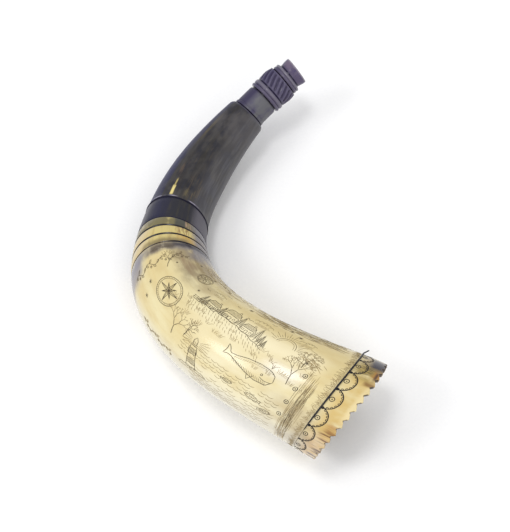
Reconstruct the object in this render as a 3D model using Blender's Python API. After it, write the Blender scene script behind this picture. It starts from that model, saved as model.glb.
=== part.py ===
"""A scrimshaw powder horn: a curved cow horn lying on its side, hollow from its pinked mouth
to its bored spout, with a carved nozzle, and a black strip laid round the border."""
import math

import bmesh
import bpy
import numpy as np
from mathutils import Vector

# Driving dimensions, in metres and degrees. Stations run from the mouth towards the spout.
BODY_LENGTH = 0.312                     # mouth to shoulder, along the centre line
NOZZLE_LENGTH = 0.052                   # shoulder to the spout's end
HORN_LENGTH = BODY_LENGTH + NOZZLE_LENGTH
MOUTH_LEAD = 0.015                      # the line runs on straight past the slanted mouth
LINE_STEP = 0.001

# Values at evenly spaced stations along the whole horn, or its body, joined by smooth curves.
HEADINGS = (158, 149, 128, 91, 66, 48, 32)          # where the centre line points, from +X
PITCHES = (14.5, -2, -11.5, -4, 14, 21)             # how steeply it climbs
BODY_RADII = (0.0375, 0.0331, 0.0308, 0.0288, 0.0234, 0.0207, 0.0158)
CAVITY_RADII = (0.0347, 0.0300, 0.0272, 0.0240, 0.0160, 0.0080, 0.0045, 0.0045)
SIDE_SLANTS = (-13, -10, -6, -3, -3, -1, 0, 0)      # how far the rings lean out of square,
TOP_SLANTS = (0, 3, 9, 15, 15, 7, 0, 0)             # towards the inside of the bend and upwards

COLUMNS = 60                            # round the girth: three to a flute
CAVITY_COLUMNS = COLUMNS // 2
CAVITY_STEP = 0.030
ROW_STEP = 0.0180

TEETH = 36                              # the mouth's rim is pinked with V nicks
TOOTH_DEPTH = 0.0019
TOOTH_FOOT = 0.0045
NICK_PLACE = 0.70                       # where a nick lies in its tooth: its far side is steep

GROOVES = (0.1643, 0.1729, 0.1821)      # black grooves that part the pale bands
GROOVE_HALF_WIDTH, GROOVE_DEPTH = 0.0009, 0.0006
DARK_FROM = 0.1908                      # the horn turns black here, at a finer line
LINE_HALF_WIDTH, LINE_DEPTH = 0.0006, 0.0004
LIP_STATION = 0.2121                    # where the long black neck begins, behind a raised lip
LIP_WIDTH, LIP_HEIGHT = 0.0022, 0.0005

# The nozzle's sizes are measured from the shoulder.
SHOULDER_START, SHOULDER_END = -0.0026, 0.0027
CYLINDER_FOOT_RADIUS = 0.0119
FOOT_BEAD_END, FOOT_BEAD_RADIUS = 0.0058, 0.0125
CYLINDER_END, CYLINDER_RADIUS = 0.0174, 0.0122
CYLINDER_ROUND_END, GROOVE_RADIUS = 0.0195, 0.0107
LOWER_BEADS = (0.0200, 0.0233, 0.0264)
LOWER_BEAD_RADIUS, LOWER_BEAD_VALLEY = 0.0131, 0.0120
BARREL_START, BARREL_END, BARREL_RADIUS = 0.0271, 0.0382, 0.0134
FLUTES, FLUTE_DEPTH, FLUTE_TWIST, FLUTE_ROWS = 20, 0.0011, -24, 4
UPPER_BEADS = (0.0390, 0.0412, 0.0437)
UPPER_BEAD_RADIUS, UPPER_BEAD_VALLEY = 0.0117, 0.0109
WAIST_START, WAIST_END, WAIST_RADIUS = 0.0442, 0.0455, 0.0092
RIM_RADIUS, RIM_EDGE = 0.0103, 0.0005

STRIP_STATION = 0.0159                  # a black strip lies round the border, near the mouth
STRIP_WIDTH, STRIP_HEIGHT, STRIP_GAP = 0.0012, 0.0008, 0.0003
STRIP_FROM, STRIP_TO, STRIP_LENGTHS = -60, 64, 24   # girth angles from the top
TAIL_TO, TAIL_LIFT, TAIL_SWING = 68, 0.0028, 0.0022     # its end is kinked and stands clear

REST_DEPTH = 0.0006                     # how much the flats that it rests on take off

PALE_HORN, BLACK_HORN, BLACK_STRIP = "#e4d49c", "#2b2830", "#17151a"


def smooth(values, place):
    """A smooth curve through evenly spaced values, read at a place from 0 to 1."""
    values = np.asarray(values, float)
    spans = len(values) - 1
    x = np.asarray(place, float) * spans
    first = np.clip(np.floor(x).astype(int), 0, spans - 1)
    u = x - first
    slopes = np.gradient(values)
    start = (2 * u**3 - 3 * u**2 + 1) * values[first] + (u**3 - 2 * u**2 + u) * slopes[first]
    end = (3 * u**2 - 2 * u**3) * values[first + 1] + (u**3 - u**2) * slopes[first + 1]
    return start + end


def centre_line():
    """Stations along the horn, its centre points, and the side and top directions at each."""
    stations = np.arange(-MOUTH_LEAD, HORN_LENGTH + MOUTH_LEAD, LINE_STEP)
    place = np.clip(stations / HORN_LENGTH, 0, 1)
    heading, pitch = np.radians(smooth(HEADINGS, place)), np.radians(smooth(PITCHES, place))
    flat = np.stack([np.cos(heading), np.sin(heading), np.zeros_like(heading)], 1)
    along = flat * np.cos(pitch)[:, None] + np.outer(np.sin(pitch), (0, 0, 1))
    points = np.cumsum(along * LINE_STEP, axis=0)
    side = np.cross(flat, (0, 0, 1))
    return stations, points, side, np.cross(side, along)


STATIONS, POINTS, SIDES, TOPS = centre_line()


def read_line(table, stations):
    return np.stack([np.interp(stations, STATIONS, table[:, axis]) for axis in range(3)], 1)


def body_radius(station):
    return smooth(BODY_RADII, np.asarray(station) / BODY_LENGTH)


def cavity_radius(station):
    return smooth(CAVITY_RADII, np.asarray(station) / HORN_LENGTH)


def ring(station, girth, radius, ahead=0.0):
    """Points of one leaning ring: girth angles in radians from the top, their radius as on the
    square ring there, and how far ahead towards the spout each one is pushed."""
    place = station / HORN_LENGTH
    lean = (np.sin(girth) * math.tan(math.radians(smooth(SIDE_SLANTS, place)))
            + np.cos(girth) * math.tan(math.radians(smooth(TOP_SLANTS, place))))
    body_station = min(station, BODY_LENGTH)
    leant = station + ahead + body_radius(body_station) * lean
    if station < BODY_LENGTH:
        radius = radius + body_radius(leant) - body_radius(station)
    outward = (np.sin(girth)[:, None] * read_line(SIDES, leant)
               + np.cos(girth)[:, None] * read_line(TOPS, leant))
    return read_line(POINTS, leant) + outward * np.reshape(radius, (-1, 1))


def around(columns, turn=0.0):
    return np.radians(turn) + np.arange(columns) * 2 * math.pi / columns


def spaced(start, end, step):
    """Stations that share out the stretch between two others, both left out."""
    return list(np.linspace(start, end, max(2, round((end - start) / step)) + 1)[1:-1])


def bead(start, end, low, high, last):
    """Offset and radius of a rounded ring's three upper points and of its far foot."""
    points = [(start + (end - start) * (1 - math.cos(turn)) / 2, low + (high - low) * math.sin(turn))
              for turn in (math.pi / 4, math.pi / 2, 3 * math.pi / 4)]
    return points + [(end, last)]


def body_profile():
    """Station and height above the plain body, from behind the teeth to the shoulder."""
    profile = [(TOOTH_FOOT, 0.0)]
    profile += [(station, 0.0) for station in spaced(TOOTH_FOOT, GROOVES[0], ROW_STEP)]
    for groove in GROOVES:
        profile += [(groove - GROOVE_HALF_WIDTH, 0.0), (groove, -GROOVE_DEPTH),
                    (groove + GROOVE_HALF_WIDTH, 0.0)]
    profile += [(DARK_FROM - LINE_HALF_WIDTH, 0.0), (DARK_FROM, -LINE_DEPTH),
                (DARK_FROM + LINE_HALF_WIDTH, 0.0)]
    profile += [(station, 0.0) for station in spaced(DARK_FROM, LIP_STATION, ROW_STEP)]
    profile += [(LIP_STATION - 2 * LINE_HALF_WIDTH, 0.0), (LIP_STATION - LINE_HALF_WIDTH, -LINE_DEPTH),
                (LIP_STATION, LIP_HEIGHT), (LIP_STATION + LIP_WIDTH, 0.0)]
    shoulder = BODY_LENGTH + SHOULDER_START
    profile += [(station, 0.0) for station in spaced(LIP_STATION + LIP_WIDTH, shoulder, ROW_STEP)]
    return profile + [(shoulder, 0.0)]


def nozzle_profile():
    """Offset from the shoulder and radius, on both sides of the fluted barrel."""
    neck_radius = float(body_radius(BODY_LENGTH + SHOULDER_START))
    lower = []
    for turn in (math.pi / 6, math.pi / 3, math.pi / 2):
        lower.append((SHOULDER_START + (SHOULDER_END - SHOULDER_START) * math.sin(turn),
                      neck_radius - (neck_radius - CYLINDER_FOOT_RADIUS) * (1 - math.cos(turn))))
    lower += bead(SHOULDER_END, FOOT_BEAD_END, CYLINDER_FOOT_RADIUS, FOOT_BEAD_RADIUS,
                  CYLINDER_FOOT_RADIUS)
    round_middle = (CYLINDER_END + 2 * CYLINDER_ROUND_END) / 3
    lower += [(FOOT_BEAD_END + LINE_HALF_WIDTH, CYLINDER_RADIUS), (CYLINDER_END, CYLINDER_RADIUS),
              (round_middle, (CYLINDER_RADIUS + GROOVE_RADIUS) / 2),
              (CYLINDER_ROUND_END, GROOVE_RADIUS), (LOWER_BEADS[0], GROOVE_RADIUS)]
    lower += bead(LOWER_BEADS[0], LOWER_BEADS[1], GROOVE_RADIUS, LOWER_BEAD_RADIUS, LOWER_BEAD_VALLEY)
    lower += bead(LOWER_BEADS[1], LOWER_BEADS[2], LOWER_BEAD_VALLEY, LOWER_BEAD_RADIUS,
                  LOWER_BEAD_VALLEY)
    upper = [(UPPER_BEADS[0], GROOVE_RADIUS)]
    upper += bead(UPPER_BEADS[0], UPPER_BEADS[1], GROOVE_RADIUS, UPPER_BEAD_RADIUS, UPPER_BEAD_VALLEY)
    upper += bead(UPPER_BEADS[1], UPPER_BEADS[2], UPPER_BEAD_VALLEY, UPPER_BEAD_RADIUS, WAIST_RADIUS)
    upper += [(WAIST_START, WAIST_RADIUS), (WAIST_END, WAIST_RADIUS),
              ((WAIST_END + NOZZLE_LENGTH) / 2, (WAIST_RADIUS + 2 * RIM_RADIUS) / 3),
              (NOZZLE_LENGTH - RIM_EDGE, RIM_RADIUS), (NOZZLE_LENGTH, RIM_RADIUS - RIM_EDGE)]
    return lower, upper


def rim_ring(radius):
    """An edge of the pinked rim: the tip of each tooth, then the foot of its nick."""
    nicks = np.arange(2 * TEETH) % 2
    girth = around(2 * TEETH) + nicks * (2 * NICK_PLACE - 1) * math.pi / TEETH
    return ring(0.0, girth, radius, nicks * TOOTH_DEPTH)


def outer_rings():
    """Every ring of the outer face with its station, from the mouth's rim to the spout's end."""
    girth = around(COLUMNS)
    rings = [(0.0, rim_ring(body_radius(0.0)))]
    for station, height in body_profile():
        rings.append((station, ring(station, girth, body_radius(station) + height)))
    lower, upper = nozzle_profile()
    for offset, radius in lower:
        rings.append((BODY_LENGTH + offset, ring(BODY_LENGTH + offset, girth, radius)))
    valleys = (np.arange(COLUMNS) % (COLUMNS // FLUTES)) == 0
    for row in range(FLUTE_ROWS + 2):
        progress = row / (FLUTE_ROWS + 1)
        swell = math.sin(math.pi * (0.12 + 0.76 * progress))
        offset = BARREL_START + (BARREL_END - BARREL_START) * progress
        radius = (BARREL_RADIUS - FLUTE_DEPTH * (1 - swell)
                  - valleys * FLUTE_DEPTH * (0 < row <= FLUTE_ROWS))
        turned = around(COLUMNS, FLUTE_TWIST * progress)
        rings.append((BODY_LENGTH + offset, ring(BODY_LENGTH + offset, turned, radius)))
    girth = around(COLUMNS, FLUTE_TWIST)
    for offset, radius in upper:
        rings.append((BODY_LENGTH + offset, ring(BODY_LENGTH + offset, girth, radius)))
    return rings


def cavity_rings():
    """Every ring of the bore and the cavity, from the spout's end back to the mouth's rim."""
    rings = []
    for station in [HORN_LENGTH] + spaced(HORN_LENGTH, TOOTH_FOOT, -CAVITY_STEP) + [TOOTH_FOOT]:
        turn = FLUTE_TWIST * max(0.0, station - BODY_LENGTH) / NOZZLE_LENGTH
        rings.append(ring(station, around(CAVITY_COLUMNS, turn), cavity_radius(station)))
    return rings + [rim_ring(cavity_radius(0.0))]


def join_rings(mesh, first, second, slot):
    """Faces between two rings of vertices that start at the same girth angle."""
    if len(first) == len(second):
        faces = [(first[index - 1], first[index], second[index], second[index - 1])
                 for index in range(len(first))]
    else:
        faces = []
        near, far = 0, 0
        while near < len(first) or far < len(second):
            corner, across = first[near % len(first)], second[far % len(second)]
            if (near + 0.5) * len(second) < (far + 0.5) * len(first):
                near += 1
                faces.append((corner, first[near % len(first)], across))
            else:
                far += 1
                faces.append((corner, second[far % len(second)], across))
    for corners in faces:
        mesh.faces.new(corners).material_index = slot


def colour_of(code):
    """A Principled colour from its sRGB code."""
    channels = [int(code[place:place + 2], 16) / 255 for place in (1, 3, 5)]
    return [c / 12.92 if c <= 0.04045 else ((c + 0.055) / 1.055) ** 2.4 for c in channels] + [1.0]


def material(name, code, roughness):
    made = bpy.data.materials.new(name)
    made.use_nodes = True
    shader = made.node_tree.nodes["Principled BSDF"]
    shader.inputs["Base Color"].default_value = colour_of(code)
    shader.inputs["Roughness"].default_value = roughness
    shader.inputs["Metallic"].default_value = 0.0
    return made


def finish_object(name, mesh, materials):
    bmesh.ops.recalc_face_normals(mesh, faces=mesh.faces)
    data = bpy.data.meshes.new(name)
    mesh.to_mesh(data)
    mesh.free()
    for made in materials:
        data.materials.append(made)
    data.shade_smooth()
    data.set_sharp_from_angle(angle=math.radians(35))
    built = bpy.data.objects.new(name, data)
    bpy.context.collection.objects.link(built)
    return built


def horn_mesh():
    """The whole horn as one closed skin: outside, spout's end, bore, cavity and rim."""
    mesh = bmesh.new()
    loops, slots = [], []
    for station, points in outer_rings():
        loops.append([mesh.verts.new(point) for point in points])
        slots.append(int(station >= DARK_FROM))
    for points in cavity_rings():
        loops.append([mesh.verts.new(point) for point in points])
        slots.append(0)
    for index, loop in enumerate(loops):
        join_rings(mesh, loop, loops[(index + 1) % len(loops)], slots[index])
    return mesh


def cut_rest_flats(mesh):
    """Cut flat what would lie below the table, under the rim and under the neck."""
    everything = list(mesh.verts) + list(mesh.edges) + list(mesh.faces)
    cut = bmesh.ops.bisect_plane(mesh, geom=everything, dist=1e-7, plane_co=(0, 0, 0),
                                 plane_no=(0, 0, 1), clear_inner=True)
    edges = [item for item in cut["geom_cut"] if isinstance(item, bmesh.types.BMEdge)]
    bmesh.ops.holes_fill(mesh, edges=edges)
    bmesh.ops.triangulate(mesh, faces=mesh.faces)


def strip_mesh():
    """The border strip: a flattened bar along its ring, whose end is kinked and stands clear."""
    angles = np.append(np.linspace(STRIP_FROM, STRIP_TO, STRIP_LENGTHS + 1), TAIL_TO)
    free = np.clip((angles - STRIP_TO) / (TAIL_TO - STRIP_TO), 0, 1)
    section = [(-0.5, 0.5), (-0.3, 0.0), (0.3, 0.0), (0.5, 0.5), (0.3, 1.0), (-0.3, 1.0)]
    mesh = bmesh.new()
    loops = [[] for _ in angles]
    for across, height in section:
        radius = body_radius(STRIP_STATION) + STRIP_GAP + STRIP_HEIGHT * height + TAIL_LIFT * free
        points = ring(STRIP_STATION, np.radians(angles), radius,
                      STRIP_WIDTH * across - TAIL_SWING * free)
        for loop, point in zip(loops, points):
            loop.append(mesh.verts.new(point))
    for first, second in zip(loops, loops[1:]):
        join_rings(mesh, first, second, 0)
    mesh.faces.new(loops[0])
    mesh.faces.new(loops[-1])
    return mesh


def main():
    for old in list(bpy.data.objects):
        bpy.data.objects.remove(old, do_unlink=True)
    horn = horn_mesh()
    strip = strip_mesh()
    places = np.array([vertex.co for vertex in horn.verts])
    low, high = places.min(axis=0), places.max(axis=0)
    to_origin = Vector((-(low[0] + high[0]) / 2, -(low[1] + high[1]) / 2, -low[2] - REST_DEPTH))
    for mesh in (horn, strip):
        bmesh.ops.translate(mesh, vec=to_origin, verts=mesh.verts)
    cut_rest_flats(horn)
    finish_object("horn", horn, [material("polished_pale_horn", PALE_HORN, 0.32),
                                 material("polished_black_horn", BLACK_HORN, 0.28)])
    finish_object("border_strip", strip, [material("black_strip", BLACK_STRIP, 0.5)])


main()
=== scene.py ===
# A scrimshaw powder horn on a pale floor: the looks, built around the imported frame.
import math
import random

import bpy
import numpy as np
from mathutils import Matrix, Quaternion, Vector


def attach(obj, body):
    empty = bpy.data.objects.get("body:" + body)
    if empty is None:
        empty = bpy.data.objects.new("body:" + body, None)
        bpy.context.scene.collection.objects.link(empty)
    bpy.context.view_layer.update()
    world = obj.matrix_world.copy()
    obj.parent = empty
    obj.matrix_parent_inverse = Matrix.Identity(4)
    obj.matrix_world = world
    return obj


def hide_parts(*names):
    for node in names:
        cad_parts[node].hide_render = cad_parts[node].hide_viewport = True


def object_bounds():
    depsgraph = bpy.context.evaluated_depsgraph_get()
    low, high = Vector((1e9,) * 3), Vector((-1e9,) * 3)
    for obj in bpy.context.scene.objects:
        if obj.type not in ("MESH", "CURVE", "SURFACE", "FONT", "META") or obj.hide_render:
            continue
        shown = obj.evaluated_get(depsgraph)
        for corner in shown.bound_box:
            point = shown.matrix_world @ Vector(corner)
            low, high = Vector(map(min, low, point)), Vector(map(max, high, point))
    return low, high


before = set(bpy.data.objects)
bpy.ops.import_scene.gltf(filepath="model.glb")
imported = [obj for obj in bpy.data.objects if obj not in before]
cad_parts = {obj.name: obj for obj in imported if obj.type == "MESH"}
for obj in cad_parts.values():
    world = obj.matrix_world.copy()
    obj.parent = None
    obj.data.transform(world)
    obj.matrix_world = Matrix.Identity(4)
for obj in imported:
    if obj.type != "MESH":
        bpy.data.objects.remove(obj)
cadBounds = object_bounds()
print("frame loaded")

# Lengths are metres and angles degrees unless a name says otherwise. A station is the way
# along the horn from the mouth, a girth angle goes round it from the top towards the inside
# of the bend, and an arc is that angle laid flat on a circle of arcRadius.
cameraView = {
    "place": (0.0002, -0.4076, 0.7230),
    "elevation": 60.22,
    "lens": 78.7,
    "sensor": 36.0,
}
hornShape = {
    "mouthCentre": (0.0610, -0.1215, 0.0357),
    "bodyLength": 0.3128,
    "nozzleLength": 0.051,
    "curveLength": 0.364,
    "mouthLead": 0.015,
    "lineStep": 0.001,
    "headings": (158, 149, 128, 92, 66, 47.5, 32),
    "pitches": (14.5, -2, -11.5, -4, 14, 21),
    "bodyRadii": (0.0375, 0.0331, 0.0308, 0.0288, 0.0231, 0.0202, 0.0152),
    "cavityRadii": (0.0347, 0.0300, 0.0272, 0.0240, 0.0160, 0.0080, 0.0045, 0.0045),
    "sideSlants": (-13, -10, -6, -3, -3, -1, 0, 0),
    "topSlants": (0, 3, 9, 15, 15, 7, 0, 0),
    "arcRadius": 0.033,
    "scrapeDepth": 0.00014,
    "scrapeSize": 0.016,
    "sharpAngle": 35,
}
hornLength = hornShape["bodyLength"] + hornShape["nozzleLength"]
millimetres = 1000


def linearColour(code, strength=1.0):
    # an sRGB hex value as the linear colour that shaders take
    channels = [int(code[i:i + 2], 16) / 255 for i in (1, 3, 5)]
    return [strength * (c / 12.92 if c <= 0.04045 else ((c + 0.055) / 1.055) ** 2.4)
            for c in channels] + [1.0]


def addNode(tree, kind, inputs=None, **settings):
    # adds a node, applies its settings, and fills its inputs with values or links
    made = tree.nodes.new(kind)
    for name, value in settings.items():
        setattr(made, name, value)
    for key, value in (inputs or {}).items():
        if isinstance(value, bpy.types.NodeSocket):
            tree.links.new(value, made.inputs[key])
        else:
            made.inputs[key].default_value = value
    return made


def addObject(name, data):
    made = bpy.data.objects.new(name, data)
    bpy.context.scene.collection.objects.link(made)
    return made


def setCamera():
    data = bpy.data.cameras.new("camera")
    data.lens = cameraView["lens"]
    data.sensor_width = cameraView["sensor"]
    camera = addObject("camera", data)
    camera.location = cameraView["place"]
    camera.rotation_euler = (math.radians(90 - cameraView["elevation"]), 0, 0)
    bpy.context.scene.camera = camera


setCamera()
print("camera set")


def smooth(values, place):
    # a smooth curve through evenly spaced values, read at places from 0 to 1
    values = np.asarray(values, float)
    spans = len(values) - 1
    x = np.clip(np.asarray(place, float), 0, 1) * spans
    first = np.clip(np.floor(x).astype(int), 0, spans - 1)
    u = x - first
    slopes = np.gradient(values)
    start = (2 * u**3 - 3 * u**2 + 1) * values[first] + (u**3 - 2 * u**2 + u) * slopes[first]
    end = (3 * u**2 - 2 * u**3) * values[first + 1] + (u**3 - u**2) * slopes[first + 1]
    return start + end


def bodyRadius(station):
    return smooth(hornShape["bodyRadii"], np.asarray(station) / hornShape["bodyLength"])


def cavityRadius(station):
    return smooth(hornShape["cavityRadii"], np.asarray(station) / hornShape["curveLength"])


def chainMesh(name, points):
    # points joined one to the next
    mesh = bpy.data.meshes.new(name)
    mesh.from_pydata(points.tolist(), [(i, i + 1) for i in range(len(points) - 1)], [])
    return mesh


def keepValues(mesh, name, values):
    # one value or one vector for each point, under a name that trees and materials read
    values = np.asarray(values)
    kind, key = ("FLOAT", "value") if values.ndim == 1 else ("FLOAT_VECTOR", "vector")
    mesh.attributes.new(name, kind, "POINT").data.foreach_set(key, values.ravel())


def buildHornLine():
    # the centre line as a chain of points that carry the horn's directions and sizes
    shape = hornShape
    stations = np.arange(-shape["mouthLead"], hornLength + shape["mouthLead"], shape["lineStep"])
    place = stations / shape["curveLength"]
    heading = np.radians(smooth(shape["headings"], place))
    pitch = np.radians(smooth(shape["pitches"], place))
    flat = np.stack([np.cos(heading), np.sin(heading), np.zeros_like(heading)], 1)
    along = flat * np.cos(pitch)[:, None] + np.outer(np.sin(pitch), (0, 0, 1))
    points = np.cumsum(along * shape["lineStep"], axis=0)
    mouth = [np.interp(0.0, stations, points[:, axis]) for axis in range(3)]
    points += np.array(shape["mouthCentre"]) - mouth
    side = np.cross(flat, (0, 0, 1))
    top = np.cross(side, along)
    rule = np.stack([np.tan(np.radians(smooth(shape["sideSlants"], place))),
                     np.tan(np.radians(smooth(shape["topSlants"], place))),
                     bodyRadius(stations)], 1)
    mesh = chainMesh("hornLine", points)
    for name, values in (("sideways", side), ("upwards", top), ("rule", rule)):
        keepValues(mesh, name, values)
    return addObject("hornLine", mesh)


def newTree(name, sockets):
    # a geometry tree with these inputs, and its input node's outputs
    tree = bpy.data.node_groups.new(name, "GeometryNodeTree")
    for socket, kind in sockets:
        tree.interface.new_socket(socket, in_out="INPUT", socket_type="NodeSocket" + kind)
    tree.interface.new_socket("Geometry", in_out="OUTPUT", socket_type="NodeSocketGeometry")
    return tree, addNode(tree, "NodeGroupInput").outputs


def buildWrapTree():
    # bends a flat layout onto the horn: x is the station, y the arc, z the height above the skin
    tree, given = newTree("wrapOnHorn", (
        ("Geometry", "Geometry"), ("Horn Line", "Object"), ("Mouth Lead", "Float"),
        ("Arc Radius", "Float"), ("Scrape Depth", "Float"), ("Scrape Size", "Float")))

    def calc(operation, *values):
        return addNode(tree, "ShaderNodeMath", dict(enumerate(values)), operation=operation).outputs[0]

    def scaled(vector, amount):
        return addNode(tree, "ShaderNodeVectorMath", {0: vector, "Scale": amount},
                       operation="SCALE").outputs[0]

    def added(first, second):
        return addNode(tree, "ShaderNodeVectorMath", {0: first, 1: second}, operation="ADD").outputs[0]

    line = addNode(tree, "GeometryNodeObjectInfo", {"Object": given["Horn Line"]}).outputs["Geometry"]
    curve = addNode(tree, "GeometryNodeMeshToCurve", {"Mesh": line}).outputs["Curve"]

    def sampled(name, station):
        value = addNode(tree, "GeometryNodeInputNamedAttribute", {"Name": name},
                        data_type="FLOAT_VECTOR").outputs["Attribute"]
        return addNode(tree, "GeometryNodeSampleCurve",
                       {"Curves": curve, "Value": value,
                        "Length": calc("ADD", station, given["Mouth Lead"])},
                       data_type="FLOAT_VECTOR", mode="LENGTH", use_all_curves=True)

    flatPlace = addNode(tree, "GeometryNodeInputPosition").outputs[0]
    station, arc, height = addNode(tree, "ShaderNodeSeparateXYZ", {0: flatPlace}).outputs
    girth = calc("DIVIDE", arc, given["Arc Radius"])
    across, upright = calc("SINE", girth), calc("COSINE", girth)
    tanSide, tanTop, plain = addNode(tree, "ShaderNodeSeparateXYZ",
                                     {0: sampled("rule", station).outputs["Value"]}).outputs
    lean = calc("ADD", calc("MULTIPLY", across, tanSide), calc("MULTIPLY", upright, tanTop))
    leant = calc("ADD", station, calc("MULTIPLY", plain, lean))
    radius = addNode(tree, "ShaderNodeSeparateXYZ",
                     {0: sampled("rule", leant).outputs["Value"]}).outputs[2]
    side = sampled("sideways", leant)
    top = sampled("upwards", leant).outputs["Value"]
    outward = added(scaled(side.outputs["Value"], across), scaled(top, upright))
    # the horn unbent, for patterns that follow its skin
    unbent = addNode(tree, "ShaderNodeCombineXYZ",
                     {0: calc("MULTIPLY", across, radius), 1: calc("MULTIPLY", upright, radius),
                      2: station}).outputs[0]
    scrape = addNode(tree, "ShaderNodeTexNoise",
                     {"Vector": scaled(unbent, calc("DIVIDE", 1.0, given["Scrape Size"])),
                      "Scale": 1.0, "Detail": 1.0}).outputs[0]
    uneven = calc("MULTIPLY", calc("SUBTRACT", scrape, 0.5), given["Scrape Depth"])
    reach = calc("ADD", calc("ADD", radius, height), uneven)
    bent = added(side.outputs["Position"], scaled(outward, reach))
    bentX, bentY, bentZ = addNode(tree, "ShaderNodeSeparateXYZ", {0: bent}).outputs
    onGround = addNode(tree, "ShaderNodeCombineXYZ",
                       {0: bentX, 1: bentY, 2: calc("MAXIMUM", bentZ, 0.0)}).outputs[0]
    kept = addNode(tree, "GeometryNodeStoreNamedAttribute",
                   {"Geometry": given["Geometry"], "Name": "unbent", "Value": unbent},
                   data_type="FLOAT_VECTOR", domain="POINT").outputs[0]
    placed = addNode(tree, "GeometryNodeSetPosition", {"Geometry": kept, "Position": onGround}).outputs[0]
    addNode(tree, "NodeGroupOutput", {0: placed})
    return tree


hornLine = buildHornLine()
wrapTree = buildWrapTree()
lineInputs = {"Horn Line": hornLine, "Mouth Lead": hornShape["mouthLead"],
              "Arc Radius": hornShape["arcRadius"], "Scrape Depth": hornShape["scrapeDepth"],
              "Scrape Size": hornShape["scrapeSize"]}
print("horn line and wrapping tree built")


def startTree(name, sizes):
    # a tree with a geometry input, the wrapping tree's inputs, named sizes and a material
    numbers = [key for key in lineInputs if key != "Horn Line"] + sizes
    return newTree(name, [("Geometry", "Geometry"), ("Horn Line", "Object")]
                   + [(key, "Float") for key in numbers] + [("Material", "Material")])


def endTree(tree, given, geometry, mergeDistance=None):
    # wraps what was made, merges its seams where asked, and gives it its material
    links = {"Geometry": geometry, **{key: given[key] for key in lineInputs}}
    wrapped = addNode(tree, "GeometryNodeGroup", node_tree=wrapTree)
    for key, value in links.items():
        tree.links.new(value, wrapped.inputs[key])
    result = wrapped.outputs[0]
    if mergeDistance:
        result = addNode(tree, "GeometryNodeMergeByDistance",
                         {"Geometry": result, "Distance": mergeDistance}).outputs[0]
    result = addNode(tree, "GeometryNodeRealizeInstances", {"Geometry": result}).outputs[0]
    result = addNode(tree, "GeometryNodeSetMaterial",
                     {"Geometry": result, "Material": given["Material"]}).outputs[0]
    addNode(tree, "NodeGroupOutput", {0: result})


def madeByTree(name, mesh, tree, sizes, material):
    # runs a tree on a flat mesh and keeps the result as a plain mesh in a new object
    draft = addObject(name + "Draft", mesh)
    modifier = draft.modifiers.new("layout", "NODES")
    modifier.node_group = tree
    values = {**lineInputs, **sizes, "Material": material}
    for item in tree.interface.items_tree:
        if item.in_out == "INPUT" and item.name in values:
            modifier[item.identifier] = values[item.name]
    graph = bpy.context.evaluated_depsgraph_get()
    finished = bpy.data.meshes.new_from_object(draft.evaluated_get(graph))
    bpy.data.objects.remove(draft)
    finished.name = name
    finished.shade_smooth()
    finished.set_sharp_from_angle(angle=math.radians(hornShape["sharpAngle"]))
    print(name, "has", sum(len(face.vertices) - 2 for face in finished.polygons), "triangles")
    return addObject(name, finished)


skin = {
    "columns": 360,
    "cavityStep": 0.010,
    "bodyStep": 0.0042,
    "mergeDistance": 0.000002,
    "teeth": 36,
    "toothDepth": 0.0019,
    "toothFoot": 0.0045,
    "toothRows": (0.0012, 0.0024, 0.0034),
    "nickPlace": 0.70,
    "steepFrom": 0.59,
    "tipFlat": 0.04,
    "edge": 0.0002,
    "rimRows": ((0, 1), (1, 0.25), (2, 0)),
    "steepTo": 4,
    "nudge": 1e-6,
    "grooves": (0.1643, 0.1729, 0.1821),
    "grooveHalfWidth": 0.0007,
    "grooveDepth": 0.0005,
    "grooveEase": 1.3,
    "grooveRows": 9,
    "darkFrom": 0.1908,
    "lineHalfWidth": 0.0005,
    "lineDepth": 0.0004,
    "lipStation": 0.2121,
    "lipWidth": 0.0022,
    "lipHeight": 0.0005,
    "boreEase": 0.0006,
    "boreEdge": 0.0005,
}
# the line and the lip behind it: where each row is, in half widths of the line, and its height
# as a share of the line's depth or of the lip
lipCut = ((-3.0, 0.0), (-2.0, -0.8), (-1.4, -1.0), (-0.7, -0.3))
lipCrest = ((-0.2, 0.8), (0.5, 1.0))
# how it falls again, in widths of the lip
lipFall = ((0.5, 0.6), (1.0, 0.0))
nozzle = {
    "shoulder": (-0.0016, 0.0025),
    "shoulderTurns": (10, 90, 9),
    "shoulderFoot": 0.0122,
    "footBead": (0.0053, 0.0129),
    "cylinderEase": 0.0004,
    "cylinder": (0.0166, 0.0124),
    "cylinderStep": 0.003,
    "roundEnd": 0.0186,
    "roundTurns": (0, 90, 7),
    "groove": 0.0111,
    "lowerBeads": (0.0191, 0.0218, 0.0254),
    "lowerBead": (0.0137, 0.0127),
    "barrel": (0.0261, 0.0377, 0.0137),
    "flutes": 20,
    "fluteDepth": 0.0011,
    "fluteTwist": -24,
    "fluteRows": 19,
    "fluteSharpness": 1.4,
    "fluteEnds": 6,
    "swellFrom": 0.12,
    "upperBeads": (0.0383, 0.0410, 0.0434),
    "upperBead": (0.0121, 0.0114),
    "waist": (0.0438, 0.0446, 0.0098),
    "flareSteps": (0.2, 1, 5),
    "rim": (0.0107, 0.0005),
    "rimEase": 0.3,
    "beadRows": 9,
    "smallBeadRows": 7,
}


def beadPoints(start, end, low, high, last, count=nozzle["beadRows"]):
    # station and radius over a rounded ring, with its far foot at its own height
    points = []
    for step in range(1, count):
        turn = math.pi * step / count
        floor = low if turn < math.pi / 2 else last
        points.append((start + (end - start) * (1 - math.cos(turn)) / 2,
                       floor + (high - floor) * math.sin(turn)))
    return points + [(end, last)]


def spaced(start, end, step):
    return list(np.linspace(start, end, max(2, round((end - start) / step)) + 1)[1:-1])


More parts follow.
